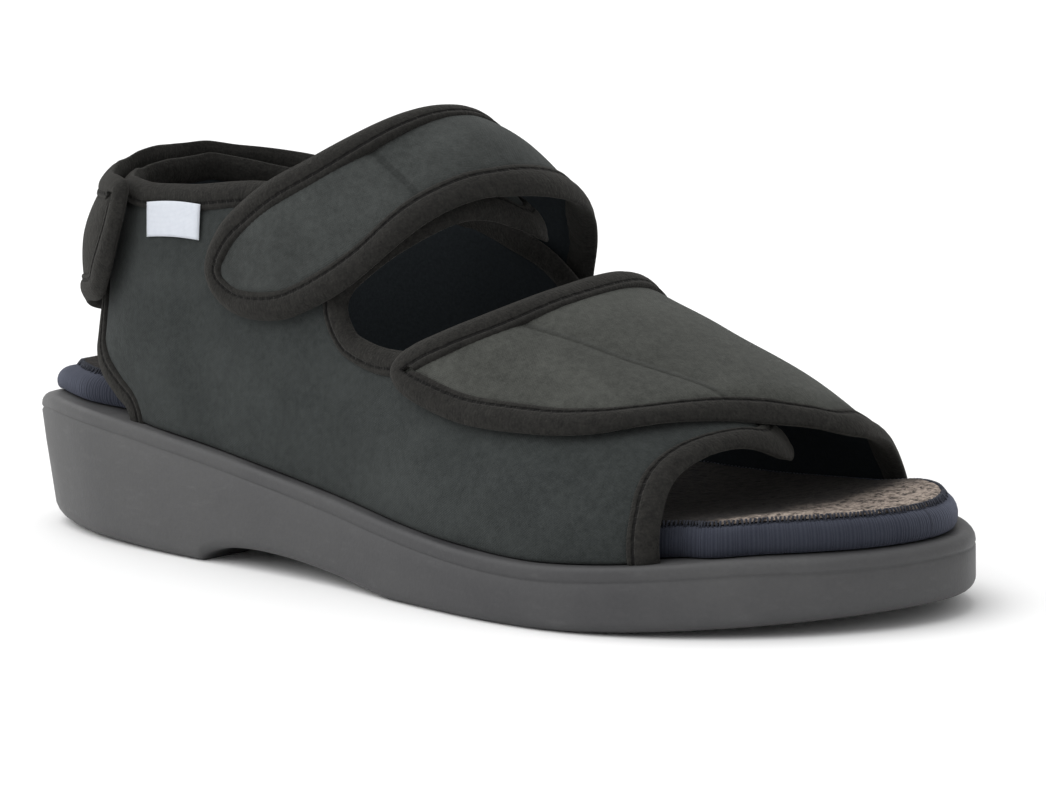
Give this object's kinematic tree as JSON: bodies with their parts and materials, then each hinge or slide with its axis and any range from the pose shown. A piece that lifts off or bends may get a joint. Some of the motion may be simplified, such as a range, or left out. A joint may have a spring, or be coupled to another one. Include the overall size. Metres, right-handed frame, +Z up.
{
  "type": "strap sandal",
  "caption": "Right-foot comfort sandal with a low wedge sole, padded textile upper, open toe and heel, and wide touch-fastening straps over forefoot, instep and heel.",
  "frame": {"origin": "On the floor under the middle of the heel seat, 45 mm in front of the sole's back end, where the flat bottom of the heel rests.", "axes": "+X to the toe, +Y to the inner side of the right foot, +Z up."},
  "size_m": [0.28, 0.1108, 0.1169],
  "materials": {
    "sole_foam": "satin moulded polyurethane foam",
    "footbed_wrap": "navy ribbed textile",
    "felt": "speckled grey-brown felt",
    "upper_textile": "matt brushed grey-green stretch textile",
    "binding": "matt brown-black knit",
    "label": "white woven tape, left plain"
  },
  "bodies": {
    "root": {"outsole": "sole_foam", "footbed": "footbed_wrap", "footbed_cover": "felt", "upper": "upper_textile", "instep_strap": "upper_textile", "forepart_flap": "upper_textile", "heel_strap": "binding", "side_label": "label"}
  },
  "joints": []
}
